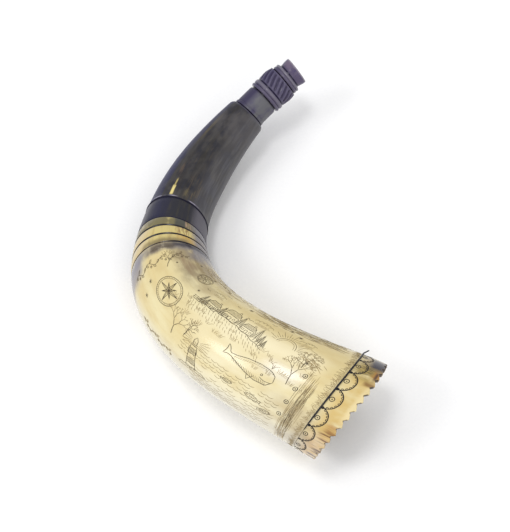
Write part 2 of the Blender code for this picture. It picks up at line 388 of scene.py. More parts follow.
def grooveRows(centre, halfWidth, depth):
    # a V groove with a rounded bottom and eased edges
    rows = []
    for step in np.linspace(-1, 1, skin["grooveRows"]):
        rows.append((centre + skin["grooveEase"] * halfWidth * step,
                     -depth * (0.5 + 0.5 * math.cos(math.pi * step))))
    return rows


def bodyRows():
    # station and height above the plain skin, from behind the teeth to the shoulder
    rows = []
    last = skin["toothFoot"]
    marks = [(place, skin["grooveHalfWidth"], skin["grooveDepth"]) for place in skin["grooves"]]
    marks.append((skin["darkFrom"], skin["lineHalfWidth"], skin["lineDepth"]))
    for place, halfWidth, depth in marks:
        rows += [(station, 0.0) for station in spaced(last, place, skin["bodyStep"])]
        groove = grooveRows(place, halfWidth, depth)
        rows = [row for row in rows if row[0] < groove[0][0] - skin["edge"]] + groove
        last = groove[-1][0]
    lip, half = skin["lipStation"], skin["lineHalfWidth"]
    rows += [(station, 0.0) for station in spaced(last, lip + lipCut[0][0] * half, skin["bodyStep"])]
    rows += [(lip + along * half, share * skin["lineDepth"]) for along, share in lipCut]
    rows += [(lip + along * half, share * skin["lipHeight"]) for along, share in lipCrest]
    rows += [(lip + along * skin["lipWidth"], share * skin["lipHeight"]) for along, share in lipFall]
    shoulder = hornShape["bodyLength"] + nozzle["shoulder"][0]
    return rows + [(station, 0.0) for station in spaced(rows[-1][0], shoulder, skin["bodyStep"])]


def nozzleProfiles():
    # offset from the shoulder and radius, below and above the fluted barrel
    part = nozzle
    start, end = part["shoulder"]
    neckRadius = float(bodyRadius(hornShape["bodyLength"] + start))
    fall = neckRadius - part["shoulderFoot"]
    lower = [(start, neckRadius)]
    for turn in np.radians(np.linspace(*part["shoulderTurns"])):
        lower.append((start + (end - start) * math.sin(turn), neckRadius - fall * (1 - math.cos(turn))))
    lower += beadPoints(end, part["footBead"][0], part["shoulderFoot"], part["footBead"][1],
                        part["shoulderFoot"], part["smallBeadRows"])
    cylinderStart = part["footBead"][0] + part["cylinderEase"]
    cylinderEnd, cylinderRadius = part["cylinder"]
    middles = spaced(cylinderStart, cylinderEnd, part["cylinderStep"])
    lower += [(offset, cylinderRadius) for offset in [cylinderStart] + middles]
    for turn in np.radians(np.linspace(*part["roundTurns"])):
        lower.append((cylinderEnd + (part["roundEnd"] - cylinderEnd) * math.sin(turn),
                      cylinderRadius - (cylinderRadius - part["groove"]) * (1 - math.cos(turn))))
    first, middle, last = part["lowerBeads"]
    high, valley = part["lowerBead"]
    lower += [(first, part["groove"])]
    lower += beadPoints(first, middle, part["groove"], high, valley)
    lower += beadPoints(middle, last, valley, high, valley)
    first, middle, last = part["upperBeads"]
    high, valley = part["upperBead"]
    waistStart, waistEnd, waistRadius = part["waist"]
    rimRadius, rimEdge = part["rim"]
    length = hornShape["nozzleLength"]
    upper = [(first, part["groove"])]
    upper += beadPoints(first, middle, part["groove"], high, valley, part["smallBeadRows"])
    upper += beadPoints(middle, last, valley, high, waistRadius, part["smallBeadRows"])
    upper += [(waistStart, waistRadius), (waistEnd, waistRadius)]
    for step in np.linspace(*part["flareSteps"]):
        upper.append((waistEnd + (length - rimEdge - waistEnd) * step,
                      waistRadius + (rimRadius - waistRadius) * math.sin(step * math.pi / 2)))
    eased = part["rimEase"] * rimEdge
    upper += [(length - eased, rimRadius - eased), (length, rimRadius - rimEdge)]
    return lower, upper


def nickDepths(girth):
    # how deep the pinked rim is cut at each angle: a slow slope in, then a steep way out
    phase = (girth * skin["teeth"] / (2 * math.pi)) % 1.0
    slope = np.where(phase < skin["nickPlace"], phase / skin["nickPlace"],
                     (1 - phase) / (1 - skin["nickPlace"]))
    return np.clip((1 + skin["tipFlat"]) * slope - skin["tipFlat"], 0, 1)


def buildSkinLayout():
    # the whole skin laid flat, out along the outside and back through the bore and the cavity
    girth = np.linspace(0, 2 * math.pi, skin["columns"] + 1)
    nicks = nickDepths(girth) * skin["toothDepth"]
    rows, cuts, sides, hollows = [], [], [], []

    def addRow(station, radius, ahead=0.0, cut=0.0, inside=0.0, hollow=0.0):
        plain = bodyRadius(min(station, hornShape["bodyLength"]))
        rows.append(np.stack([station + ahead + 0 * girth, girth * hornShape["arcRadius"],
                              radius - plain + 0 * girth], 1))
        cuts.append(cut + 0 * girth)
        sides.append(inside + 0 * girth)
        hollows.append(hollow + 0 * girth)

    # the rim's cut edge is marked 1, and 2 on the steep side of each nick; its rows are in edges
    phase = (girth * skin["teeth"] / (2 * math.pi) + skin["nudge"]) % 1.0
    steep = phase > skin["steepFrom"]
    edge = skin["edge"]
    rimRows = [(along * edge, inset * edge) for along, inset in skin["rimRows"]]
    for station, inset in rimRows + [(row, 0) for row in (*skin["toothRows"], skin["toothFoot"])]:
        fade = 1 - station / skin["toothFoot"]
        cut = 1 + steep if station < edge else 2 * steep * (station < skin["steepTo"] * edge)
        addRow(station, bodyRadius(station) - inset, nicks * fade, cut)
    for station, height in bodyRows():
        addRow(station, bodyRadius(station) + height)
    lower, upper = nozzleProfiles()
    for offset, radius in lower:
        addRow(hornShape["bodyLength"] + offset, radius)
    barrelStart, barrelEnd, barrelRadius = nozzle["barrel"]
    swellFrom = nozzle["swellFrom"]
    for step in np.linspace(0, 1, nozzle["fluteRows"]):
        swell = math.sin(math.pi * (swellFrom + (1 - 2 * swellFrom) * step))
        turned = girth - math.radians(nozzle["fluteTwist"]) * step
        # how deep each flute's hollow is, kept for the painted shade and highlight on the flutes
        valley = (0.5 + 0.5 * np.cos(turned * nozzle["flutes"])) ** nozzle["fluteSharpness"]
        valley = valley * min(1, nozzle["fluteEnds"] * step, nozzle["fluteEnds"] * (1 - step))
        addRow(hornShape["bodyLength"] + barrelStart + (barrelEnd - barrelStart) * step,
               barrelRadius - nozzle["fluteDepth"] * (1 - swell + valley), hollow=valley)
    for offset, radius in upper:
        addRow(hornShape["bodyLength"] + offset, radius)
    boreStart = hornLength - skin["boreEdge"]
    addRow(hornLength, cavityRadius(hornLength) + skin["boreEase"], cut=1.0, inside=1.0)
    addRow(boreStart, cavityRadius(hornLength), inside=1.0)
    back = spaced(boreStart, skin["toothFoot"], -skin["cavityStep"])
    for station in back + [skin["toothFoot"], edge]:
        fade = max(0.0, 1 - station / skin["toothFoot"])
        addRow(station, cavityRadius(station), nicks * fade, inside=1.0)
    addRow(0.0, cavityRadius(0.0) + edge, nicks, cut=1 + steep, inside=1.0)
    for values in (rows, cuts, sides, hollows):
        values.append(values[0])
    columns = skin["columns"] + 1
    count = len(rows)
    faces = [(row * columns + i, row * columns + i + 1, (row + 1) * columns + i + 1,
              (row + 1) * columns + i) for row in range(count - 1) for i in range(columns - 1)]
    mesh = bpy.data.meshes.new("skinLayout")
    mesh.from_pydata(np.concatenate(rows).tolist(), [], faces)
    for name, values in (("cut", cuts), ("inside", sides), ("hollow", hollows)):
        keepValues(mesh, name, np.concatenate(values))
    return mesh


def buildHorn(paleMaterial, blackMaterial):
    tree, given = startTree("skinTree", ["Merge Distance"])
    endTree(tree, given, given["Geometry"], given["Merge Distance"])
    horn = madeByTree("hornSkin", buildSkinLayout(), tree, {"Merge Distance": skin["mergeDistance"]},
                      paleMaterial)
    # beyond the fine line the horn is black
    horn.data.materials.append(blackMaterial)
    places = np.empty(3 * len(horn.data.vertices))
    horn.data.attributes["unbent"].data.foreach_get("vector", places)
    stations = places[2::3]
    for face in horn.data.polygons:
        face.material_index = int(stations[list(face.vertices)].mean() > skin["darkFrom"])
    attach(horn, "root")
    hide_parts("horn")


# Strokes are drawn in millimetres and cut into the skin as fine bars of ink. A drawing is a
# list of strokes, each with its points, its width and how dark its ink is, from 0 to 1.
ink = {
    "spacing": 1.4,
    "flatness": 0.16,
    "lift": 0.00004,  # metres
    "taper": 0.5,
    "taperBelow": 0.4,
    "unsteady": 0.05,
    "seed": 11,
}
dice = random.Random(ink["seed"])


def stroke(points, width=0.30, tone=0.8):
    return [([(float(u), float(v)) for u, v in points], width, tone)]


def arcOf(u, v, radius, start=0, end=360, width=0.30, tone=0.8, squash=1.0):
    steps = max(4, int(abs(end - start) / 360 * max(9, 4 * radius)))
    turns = np.radians(np.linspace(start, end, steps + 1))
    return stroke(zip(u + radius * np.cos(turns), v + squash * radius * np.sin(turns)), width, tone)


def sized(points, size):
    return [(size * u, size * v) for u, v in points]


def spoke(turn, inner, outer, width, tone):
    # a stroke straight out from the centre, between two distances
    c, s = math.cos(math.radians(turn)), math.sin(math.radians(turn))
    return stroke([(inner * c, inner * s), (outer * c, outer * s)], width, tone)


def mirrored(points, width, tone):
    return stroke(points, width, tone) + stroke([(u, -v) for u, v in points], width, tone)


def dot(u, v, size=0.4, tone=0.8):
    return stroke([(u - size / 2, v), (u + size / 2, v)], size, tone)


def circleAndDot(u, v, radius=1.2, width=0.3, tone=0.9, eye=0.62):
    # the circle runs on over its own start, as a hand-cut one does
    return arcOf(u, v, radius, 0, 380, width, tone) + dot(u, v, eye, tone)


def ruled(corner, along, across, count, width=0.22, tone=0.55, uneven=0.12):
    # parallel strokes: each runs by along, and they step by across
    drawn = []
    for index in range(count):
        start = np.array(corner) + np.array(across) * index / max(1, count - 1)
        cut = [dice.uniform(0, uneven), 1 - dice.uniform(0, uneven)]
        drawn += stroke([start + np.array(along) * cut[0], start + np.array(along) * cut[1]], width, tone)
    return drawn


def moved(drawing, u=0.0, v=0.0, turn=0.0, size=1.0, flip=False):
    # a drawing scaled, flipped left to right, turned and then moved
    cosine, sine = math.cos(math.radians(turn)), math.sin(math.radians(turn))
    result = []
    for points, width, tone in drawing:
        placed = [((-a if flip else a) * size, b * size) for a, b in points]
        result.append(([(u + a * cosine - b * sine, v + a * sine + b * cosine) for a, b in placed],
                       width, tone))
    return result


def onHorn(drawing, station, arc, turn=0.0, size=1.0, flip=False):
    # a drawing's right hand points to the mouth and its top to the inside of the bend
    return [([(station - u, arc + v) for u, v in points], width, tone)
            for points, width, tone in moved(drawing, turn=turn, size=size, flip=flip)]


def roundRing(drawing, station, arc):
    # a drawing whose right hand points along the ring and whose top points to the neck
    return [([(station + v, arc + u) for u, v in points], width, tone) for points, width, tone in drawing]


# Each motif below is drawn from its own numbers: shares of its size, or millimetres, and then
# each stroke's width and tone.
def compassStar(radius=11.0):
    drawn = arcOf(0, 0, radius, width=0.34, tone=0.85) + arcOf(0, 0, radius * 0.87, width=0.24, tone=0.7)
    for turn in range(0, 360, 8):
        drawn += spoke(turn, radius * 0.87, radius, 0.26, 0.75)
    for turn in range(0, 360, 45):
        reach = radius * (0.84 if turn % 90 == 0 else 0.58)
        ray = stroke([(0, 0), (reach * 0.26, reach * 0.12), (reach, 0), (reach * 0.26, -reach * 0.12),
                      (0, 0)], 0.3, 0.9) + stroke([(0, 0), (reach, 0)], 0.24, 0.8)
        for share in np.linspace(0.12, 0.86, 8):
            depth = 0.12 * min(share / 0.26, (1 - share) / 0.74)
            ray += stroke([(reach * share, 0), (reach * share, -reach * depth)], 0.24, 0.75)
        drawn += moved(ray, turn=turn)
    return drawn + arcOf(0, 0, radius * 0.2, width=0.26)


def whale(length=26.0):
    outline = [(-0.50, 0.02), (-0.47, 0.14), (-0.36, 0.20), (-0.15, 0.21), (0.08, 0.16), (0.26, 0.08),
               (0.38, 0.05), (0.43, 0.13), (0.50, 0.19), (0.47, 0.07), (0.49, -0.04), (0.42, 0.00),
               (0.34, 0.00), (0.20, -0.04), (0.0, -0.10), (-0.22, -0.13), (-0.42, -0.10), (-0.50, 0.02)]
    mouth = [(-0.49, -0.01), (-0.36, -0.04), (-0.26, -0.02)]
    flipper = [(-0.18, -0.06), (-0.10, -0.20), (-0.05, -0.09)]
    drawn = stroke(sized(outline, length), 0.34, 0.9) + stroke(sized(mouth, length), 0.28, 0.9)
    drawn += arcOf(-0.27 * length, 0.04 * length, 0.6, width=0.34, tone=0.9)
    drawn += stroke(sized(flipper, length), 0.28, 0.85)
    for step in range(20):
        u = -0.42 + 0.036 * step
        low = -0.115 + 0.11 * max(0.0, (u + 0.2)) ** 1.2
        drawn += stroke(sized([(u, low), (u + 0.04, low + 0.07)], length), 0.24, 0.7)
        high = 0.19 - 0.36 * max(0.0, u + 0.12)
        drawn += stroke(sized([(u, high), (u + 0.02, high - 0.045)], length), 0.22, 0.5)
    for side in (-1, 0, 1):
        blow = [(-0.33, 0.23), (-0.33 + 0.03 * side, 0.32), (-0.33 + 0.09 * side, 0.34)]
        drawn += stroke(sized(blow, length), 0.24, 0.7)
    return drawn


def sea(width=40.0, rows=3, pitch=4.2, tone=0.6, step=2.1):
    drawn = []
    for row in range(rows):
        start = -width / 2 + (row % 2) * pitch / 2 + dice.uniform(-0.5, 0.5)
        while start + pitch < width / 2:
            if dice.random() < 0.8:
                drawn += arcOf(start + pitch / 2, -row * step, pitch / 2, 200, 340, 0.24,
                               tone * dice.uniform(0.6, 1.1), 0.6)
            start += pitch * dice.uniform(0.9, 1.15)
    return drawn


def lighthouse(height=23.0):
    drawn = []
    for side in (-1, 1):
        drawn += stroke([(side * 3.4, 0), (side * 2.1, height * 0.74)], 0.32, 0.85)
        drawn += stroke([(side * 1.4, height * 0.78), (side * 1.4, height * 0.9), (0, height)], 0.3, 0.85)
    for share in (0.0, 0.16, 0.32, 0.48, 0.64, 0.74):
        half = 3.4 - 1.75 * share
        drawn += stroke([(-half, share * height), (half, share * height)], 0.26, 0.8)
    for share in (0.16, 0.48):
        drawn += ruled((-3.0, share * height), (0, 0.16 * height), (5.8, 0), 10, 0.24, 0.8, 0.05)
    drawn += stroke([(-2.6, height * 0.78), (2.6, height * 0.78)], 0.3, 0.85)
    drawn += ruled((-1.0, height * 0.79), (0, height * 0.1), (2.0, 0), 3, tone=0.7)
    for side in (0, 180):
        for turn in (-26, -13, 0, 13, 26):
            drawn += moved(stroke([(3.0, 0), (9.5, 0)], 0.2, 0.45), v=height * 0.85, turn=turn + side)
    rock = [(-10, -1.5), (-7, 0.6), (-4.6, 0.1), (-3.6, 1.2), (0, 0.4), (3.4, 1.2), (5.5, 0.2), (8, 0.7),
            (11, -1.8)]
    drawn += stroke(rock, 0.3, 0.8)
    return drawn + ruled((-9.4, -3.0), (1.6, 2.7), (18.5, 0), 24, 0.22, 0.55, 0.3)


def cottage(width=8.0):
    half, wall = width / 2, width * 0.5
    drawn = stroke([(-half, 0), (-half, wall), (half, wall), (half, 0), (-half, 0)], 0.3, 0.9)
    drawn += stroke([(-half - 0.8, wall), (-half * 0.7, wall * 1.9), (half * 0.7, wall * 1.9),
                     (half + 0.8, wall)], 0.3, 0.9)
    drawn += ruled((-half * 0.95, wall), (half * 0.2, wall * 0.86), (width * 0.86, 0), 11, tone=0.8)
    drawn += stroke([(-0.8, 0), (-0.8, wall * 0.62), (0.8, wall * 0.62), (0.8, 0)], 0.28, 0.9)
    for u in (-half * 0.62, half * 0.62):
        drawn += stroke([(u - 0.6, wall * 0.3), (u - 0.6, wall * 0.68), (u + 0.6, wall * 0.68),
                         (u + 0.6, wall * 0.3), (u - 0.6, wall * 0.3)], 0.26, 0.85)
    return drawn + stroke([(half * 0.3, wall * 1.9), (half * 0.3, wall * 2.3), (half * 0.55, wall * 2.3),
                           (half * 0.55, wall * 1.9)], 0.28, 0.9)


def pine(height=10.0):
    drawn = stroke([(0, 0), (0, height)], 0.32, 0.9)
    for step in range(8):
        v, reach = height * (0.16 + 0.1 * step), height * 0.28 * (1 - step / 9)
        for side in (-1, 1):
            drawn += stroke([(0, v + reach * 0.3), (side * reach, v - reach * 0.25)], 0.28, 0.85)
            drawn += stroke([(side * reach * 0.45, v + 0.1), (side * reach * 0.6, v - 0.9)], 0.24, 0.75)
    return drawn


def leaf(length=3.2, tone=0.75):
    edge = [(length * t, 0.24 * length * math.sin(math.pi * t)) for t in np.linspace(0, 1, 6)]
    return mirrored(edge, 0.26, tone) + stroke([(0, 0), (length * 0.8, 0)], 0.22, tone * 0.8)


def vine(length=60.0, swing=2.6, pitch=15.0, leafLength=3.4, tone=0.8):
    stem = [(u, swing * math.sin(2 * math.pi * u / pitch)) for u in np.arange(0, length, 1.5)]
    drawn = stroke(stem, 0.32, tone)
    for index, u in enumerate(np.arange(1.5, length - 2, pitch / 4)):
        v = swing * math.sin(2 * math.pi * u / pitch)
        drawn += moved(leaf(leafLength, tone), u, v, turn=48 if index % 2 else -48)
        if index % 4 == 1:
            drawn += circleAndDot(u + 1, v - swing * 1.6, 0.8, 0.26, tone)
    return drawn


def rosette(radius=7.0, petals=6, tone=0.8):
    drawn = arcOf(0, 0, radius, tone=tone) + arcOf(0, 0, radius * 1.14, width=0.26, tone=tone * 0.9)
    for petal in range(petals):
        edge = [(radius * t, 0.2 * radius * math.sin(math.pi * t)) for t in np.linspace(0.06, 0.96, 8)]
        both = mirrored(edge, 0.28, tone)
        for share in np.linspace(0.2, 0.85, max(3, int(radius))):
            half = 0.18 * radius * math.sin(math.pi * share)
            both += stroke([(radius * share, 0), (radius * share + 0.3, half)], 0.24, tone * 0.85)
        drawn += moved(both, turn=petal * 360 / petals)
    return drawn + dot(0, 0, 0.6, tone)


def bird(size=2.4, tone=0.8):
    return (stroke([(-size, 0.4 * size), (-0.4 * size, 0.5 * size), (0, 0)], 0.3, tone)
            + stroke([(0, 0), (0.4 * size, 0.55 * size), (size, 0.3 * size)], 0.3, tone))


def smallStar(radius=1.6, tone=0.85):
    drawn = []
    for turn in range(0, 180, 45):
        drawn += spoke(turn, -radius, radius, 0.26, tone)
    return drawn


def bareTree(height=20.0, spread=26):
    # a leafless tree: every branch forks into two finer ones
    drawn = []

    def grow(u, v, turn, length, order):
        bend = turn + dice.uniform(-9, 9)
        end = (u + length * math.sin(math.radians(bend)), v + length * math.cos(math.radians(bend)))
        middle = ((u + end[0]) / 2 + dice.uniform(-0.2, 0.2), (v + end[1]) / 2)
        drawn.extend(stroke([(u, v), middle, end], max(0.2, 0.42 - 0.05 * order), 0.85 - 0.06 * order))
        if order < 5:
            for side in (-1, 1):
                grow(*end, bend + side * dice.uniform(0.6, 1.3) * spread, length * dice.uniform(0.66, 0.82),
                     order + 1)

    grow(0, 0, 0, height * 0.28, 0)
    return drawn


def sun(radius=5.0):
    # half a sun with long and short rays
    drawn = arcOf(0, 0, radius, 0, 180, 0.28, 0.75) + arcOf(0, 0, radius * 0.8, 0, 180, 0.2, 0.55)
    for index, turn in enumerate(np.linspace(6, 174, 19)):
        drawn += spoke(turn, radius * 1.15, radius * (2.1 if index % 2 else 1.6), 0.22, 0.6)
    return drawn


def cloud(width=12.0):
    drawn = []
    for step in range(5):
        rise = 1.0 + 1.6 * math.sin(math.pi * (step + 0.5) / 5)
        drawn += arcOf(width * (step - 2) / 5, rise, width * 0.13, 10, 190, 0.24, 0.6)
    return drawn + ruled((-width * 0.5, 0.4), (width, 0.0), (0, -1.6), 3, 0.2, 0.4, 0.2)


def fish(length=9.0):
    body = [(length * 0.5 * math.cos(t), length * 0.17 * math.sin(t)) for t in np.linspace(0.25, 6.03, 16)]
    tail = [(0.48, 0.04), (0.66, 0.15), (0.62, 0), (0.66, -0.15), (0.48, -0.04)]
    drawn = stroke(body, 0.3, 0.85) + stroke(sized(tail, length), 0.3, 0.85)
    for step in range(5):
        drawn += arcOf(length * (-0.2 + 0.13 * step), 0, length * 0.1, -60, 60, 0.24, 0.7)
    return drawn + dot(-0.34 * length, 0.03 * length, 0.5)


def hill(width=42.0, height=4.0, rows=3):
    ridge = [(u, height * math.cos(math.pi * u / width) - 0.4 * math.sin(u)) for u in
             np.arange(-width / 2, width / 2, 1.6)]
    drawn = stroke(ridge, 0.32, 0.85)
    for row in range(rows):
        for u, v in ridge:
            low = v - 0.3 - 2.1 * row - dice.uniform(0, 0.8)
            drawn += stroke([(u + 0.7 * row, low), (u + 0.9 + 0.7 * row, low - dice.uniform(1.0, 1.9))],
                            0.24, 0.7 - 0.15 * row)
    return drawn


def fence(posts=9, pitch=2.2, height=2.6):
    drawn = ruled((0, 0), (0, height), (pitch * (posts - 1), 0), posts, 0.3, 0.8, 0.05)
    for share in (0.35, 0.75):
        drawn += stroke([(-0.8, height * share), (pitch * (posts - 1) + 0.8, height * share)], 0.24, 0.75)
    return drawn


def grassTuft(reach=4.0, blades=5, tone=0.42):
    # a loose fan of curved blades
    drawn = []
    for step in range(blades):
        foot = 0.55 * (step - (blades - 1) / 2) + dice.uniform(-0.2, 0.2)
        turn = math.radians(14 * (step - (blades - 1) / 2) + dice.uniform(-12, 12))
        size = reach * dice.uniform(0.5, 1.15)
        drawn += stroke([(foot, 0), (foot + 0.35 * size * math.sin(turn), 0.55 * size),
                         (foot + size * math.sin(turn), size * math.cos(turn))], 0.2,
                        tone * dice.uniform(0.5, 1.2))
    return drawn


border = {
    "station": 15.9,
    "swags": 16,
    "swagWidth": 1.06,
    "phase": 3.4,
    "swagDepth": 7.3,
    "swagLine": (0.55, 1.0),
    "loops": 10,
    "loopSize": 0.85,
    "loopTurns": (100, 260),
    "loopLine": (0.36, 1.0, 0.85),
    "loopInset": 0.15,
    "eye": (-2.1, 1.35, 0.42, 1.0),
    "tufts": (-5, -3, -1, 1, 3, 5),
    "tuftRise": 0.9,
    "tuftTurn": 25,
    "tuftStray": 0.6,
    "eyeRow": {"station": 32.4, "count": 4, "first": -5.6, "pitch": -9.3, "ring": (1.25, 0.36, 1.0)},
    "pictureEdge": (30.3, 0.24, 0.5, -82, -2),
    "stripLine": (15.9, 0.3, 0.7, -96, -59),
    "lineStep": 2.5,
}
arcScale = hornShape["arcRadius"] * millimetres


def ringLine(station, width, tone, start, end):
    # part of a ring between two girth angles
    arcs = np.radians(np.linspace(start, end, int((end - start) / border["lineStep"]) + 1)) * arcScale
    return stroke([(station, arc) for arc in arcs], width, tone)


def borderCuts():
    # a ring of swags hung from the strip's line, each with small loops and a circle and dot
    width = 2 * math.pi * arcScale / border["swags"]
    half = border["swagWidth"] * width / 2
    loopReach = half - border["loopInset"]
    squash = border["swagDepth"] / half
    swag = arcOf(0, 0, half, 180, 360, *border["swagLine"], squash)
    for step in range(border["loops"]):
        turn = math.radians(180 + 180 * (step + 0.5) / border["loops"])
        facing = math.degrees(math.atan2(math.sin(turn), squash * math.cos(turn)))
        loop = arcOf(0, 0, border["loopSize"], *border["loopTurns"], *border["loopLine"])
        swag += moved(loop, loopReach * math.cos(turn), squash * loopReach * math.sin(turn), facing)
    swag += circleAndDot(0, *border["eye"])
    tuftTurn, tuftStray = border["tuftTurn"], border["tuftStray"]
    drawn = []
    for index in range(border["swags"]):
        middle = index * width + math.radians(border["phase"]) * arcScale
        drawn += roundRing(swag, border["station"], middle)
        for side in border["tufts"]:
            tuft = moved(grassTuft(), turn=dice.uniform(-tuftTurn, tuftTurn))
            drawn += roundRing(tuft, border["station"] + border["tuftRise"],
                               middle + side + dice.uniform(-tuftStray, tuftStray))
    eyes = border["eyeRow"]
    for step in range(eyes["count"]):
        drawn += roundRing(circleAndDot(0, 0, *eyes["ring"]), eyes["station"],
                           eyes["first"] + eyes["pitch"] * step)
    # two scribed lines: one at the picture's edge, one that carries on where the strip ends
    return drawn + ringLine(*border["pictureEdge"]) + ringLine(*border["stripLine"])


# The pictures: each row has a motif and its own sizes, then the station and arc of its foot, and
# where they differ from 0, 1 and False its turn, its scale and whether it is flipped.
pictures = (
    (hill, (), 86, -2, -3, 1.25),
    (cottage, (), 87, 3, -3, 1.2),
    (cottage, (), 99.5, 1.6, -3),
    (cottage, (), 74, 1.3, -3),
    (pine, (), 107, -0.6, -3),
    (pine, (), 104.5, 0, -3, 0.8),
    (pine, (), 93.3, 2.3, -3, 0.9),
    (pine, (), 80.2, 2.2, -3, 1.1),
    (pine, (), 67.4, -0.4, -3, 1.2),
    (pine, (), 64, -1.4, -3, 0.9),
    (pine, (), 61.5, -2.4, -3, 0.7),
    (fence, (11,), 112, 0, 8, 1.1),
    (sun, (), 52, 7, -8, 1.2),
    (cloud, (), 70, 13, -4),
    (cloud, (9,), 104, 14, 5),
    (cloud, (8,), 42, 14, 0),
    (whale, (32,), 60, -17, -6, 1.0, True),
    (sea, (70, 5), 66, -25, -2),
    (lighthouse, (), 90, -42, 4),
    (sea, (60, 7, 5.0, 0.5, 2.3), 62, -37, 1),
    (fish, (), 50, -33, -8),
    (fish, (7.5,), 40, -38, 6, 1.0, True),
    (fish, (6.5,), 66, -32, 4, 1.0, True),
    (bareTree, (23,), 38, -15, 8),
    (bareTree, (15,), 37, -2, -6),
    (bareTree, (21,), 108, -30, 10),
    (bareTree, (14,), 100, -24, -6),
    (compassStar, (), 125, -11, 9, 0.9),
    (vine, (30, 1.8, 11.0, 2.8, 0.5), 134, -44, -3),
    (vine, (50, 2.0, 12.5, 3.0), 149, -34, 90),
    (rosette, (5.0,), 122, 17, 12),
    (bareTree, (17, 34), 141, -4, 64),
)
# rows of grass: the blades' reach, the first station and the pitch, the middle arc, how far and
# how fast the row swings, and its turn
grassRows = ((3.4, 76, 3.4, -7.5, 5, 1.9, -3), (3.0, 62, -2.6, -9, 7, 2.3, -6))
grassTufts = 14
birds = ((78, 12, 1.0), (66, 19, 0.8), (101, 20, 0.9), (112, 12, 0.7), (96, -19, 0.9), (90, 17, 0.7))
birdTurns = (-12, 12)
starTurns = (0, 40)
starSizes = (0.6, 1.0)
stars = ((139, -20), (142, 4), (114, 6), (135, -28), (120, 24), (36, 2), (49, 19), (56, 22), (84, 22),
         (138, 22), (106, 26))


def placedMotifs(rows):
    drawn = []
    for motif, sizes, *place in rows:
        drawn += onHorn(motif(*sizes), *place)
    return drawn


def pictureCuts():
    # a shore with cottages under a low sun, a light, a whale at sea, a compass star and flowers
    drawn = placedMotifs(pictures)
    for step in range(grassTufts):
        for reach, first, pitch, middle, swing, rate, turn in grassRows:
            drawn += onHorn(grassTuft(reach), first + pitch * step, middle + swing * math.sin(rate * step),
                            turn)
    for station, arc, size in birds:
        drawn += onHorn(bird(), station, arc, dice.uniform(*birdTurns), size)
    for station, arc in stars:
        drawn += onHorn(smallStar(), station, arc, dice.uniform(*starTurns), dice.uniform(*starSizes))
    return drawn


# the dark band behind the border: how many strokes, where their middle is and how far they stray,
# the girth they lie on and how they fade towards its ends
ringHatching = {
    "count": 120,
    "station": (26.6, 1.7),
    "arcs": (-60, -14),
    "lengths": (5, 15),
    "width": 0.15,
    "tones": (0.3, 0.9),
    "fadeAt": (-66, 14, 2, 26),
    "degreesPerArc": 1.736,
}
# hatching along the horn: how many strokes, how their places are thrown, their stations and arcs,
# how far each runs to the mouth and how far it sinks, its width and its tones
hatching = (
    (170, dice.uniform, (30, 84), (22, 36), (4, 11), (0.2, 1.4), 0.22, (0.2, 0.75)),
    (90, dice.uniform, (84, 142), (24, 37), (3, 8), (0.8, -0.8), 0.2, (0.2, 0.5)),
    (60, dice.gauss, (36, 3.0), (4, 3.2), (2, 5), (0.6, 2.4), 0.2, (0.2, 0.5)),
)
cutRow = {"station": 158.4, "first": -15, "pitch": 1.25, "count": 16, "middle": 0.5,
          "heights": (0.9, 1.6), "end": (0.9, 0.2), "line": (0.3, 0.85)}


def shadingCuts():
    # strokes drawn round the horn behind the border, others along the inside of the bend, and
    # a row of short cuts that say nothing
    drawn = []
    ring = ringHatching
    fadeStart, fadeIn, fadeEnd, fadeOut = ring["fadeAt"]
    for step in range(ring["count"]):
        station = dice.gauss(*ring["station"])
        start = dice.uniform(*ring["arcs"])
        tone = dice.uniform(*ring["tones"])
        tone *= min(1.0, (start - fadeStart) / fadeIn, (fadeEnd - start) / fadeOut)
        end = start + dice.uniform(*ring["lengths"])
        drawn += ringLine(station, ring["width"], tone, start * ring["degreesPerArc"],
                          end * ring["degreesPerArc"])
    for count, throw, stations, arcs, runs, sinks, width, tones in hatching:
        for step in range(count):
            station, arc = throw(*stations), throw(*arcs)
            end = (station - dice.uniform(*runs), arc - dice.uniform(*sinks))
            drawn += stroke([(station, arc), end], width, dice.uniform(*tones))
    for step in range(cutRow["count"]):
        corners = [(0, 0), (cutRow["middle"], dice.uniform(*cutRow["heights"])), cutRow["end"]]
        drawn += roundRing(stroke(corners, *cutRow["line"]), cutRow["station"],
                           cutRow["first"] + cutRow["pitch"] * step)
    return drawn


# the side away from the light is plainer: a long vine, rosettes, a star and small stars
hiddenPictures = (
    (vine, (104, 3.2, 20, 4.2), 152, 88),
    (rosette, (9.0,), 34, 104),
    (rosette, (7.0,), 100, 66),
    (compassStar, (9.0,), 70, 126),
)
hiddenStars = ((50, 66), (66, 76), (84, 108), (120, 116), (134, 72), (110, 140), (40, 140))


def hiddenSideCuts():
    drawn = placedMotifs(hiddenPictures)
    for station, arc in hiddenStars:
        drawn += onHorn(smallStar(), station, arc, dice.uniform(*starTurns))
    return drawn


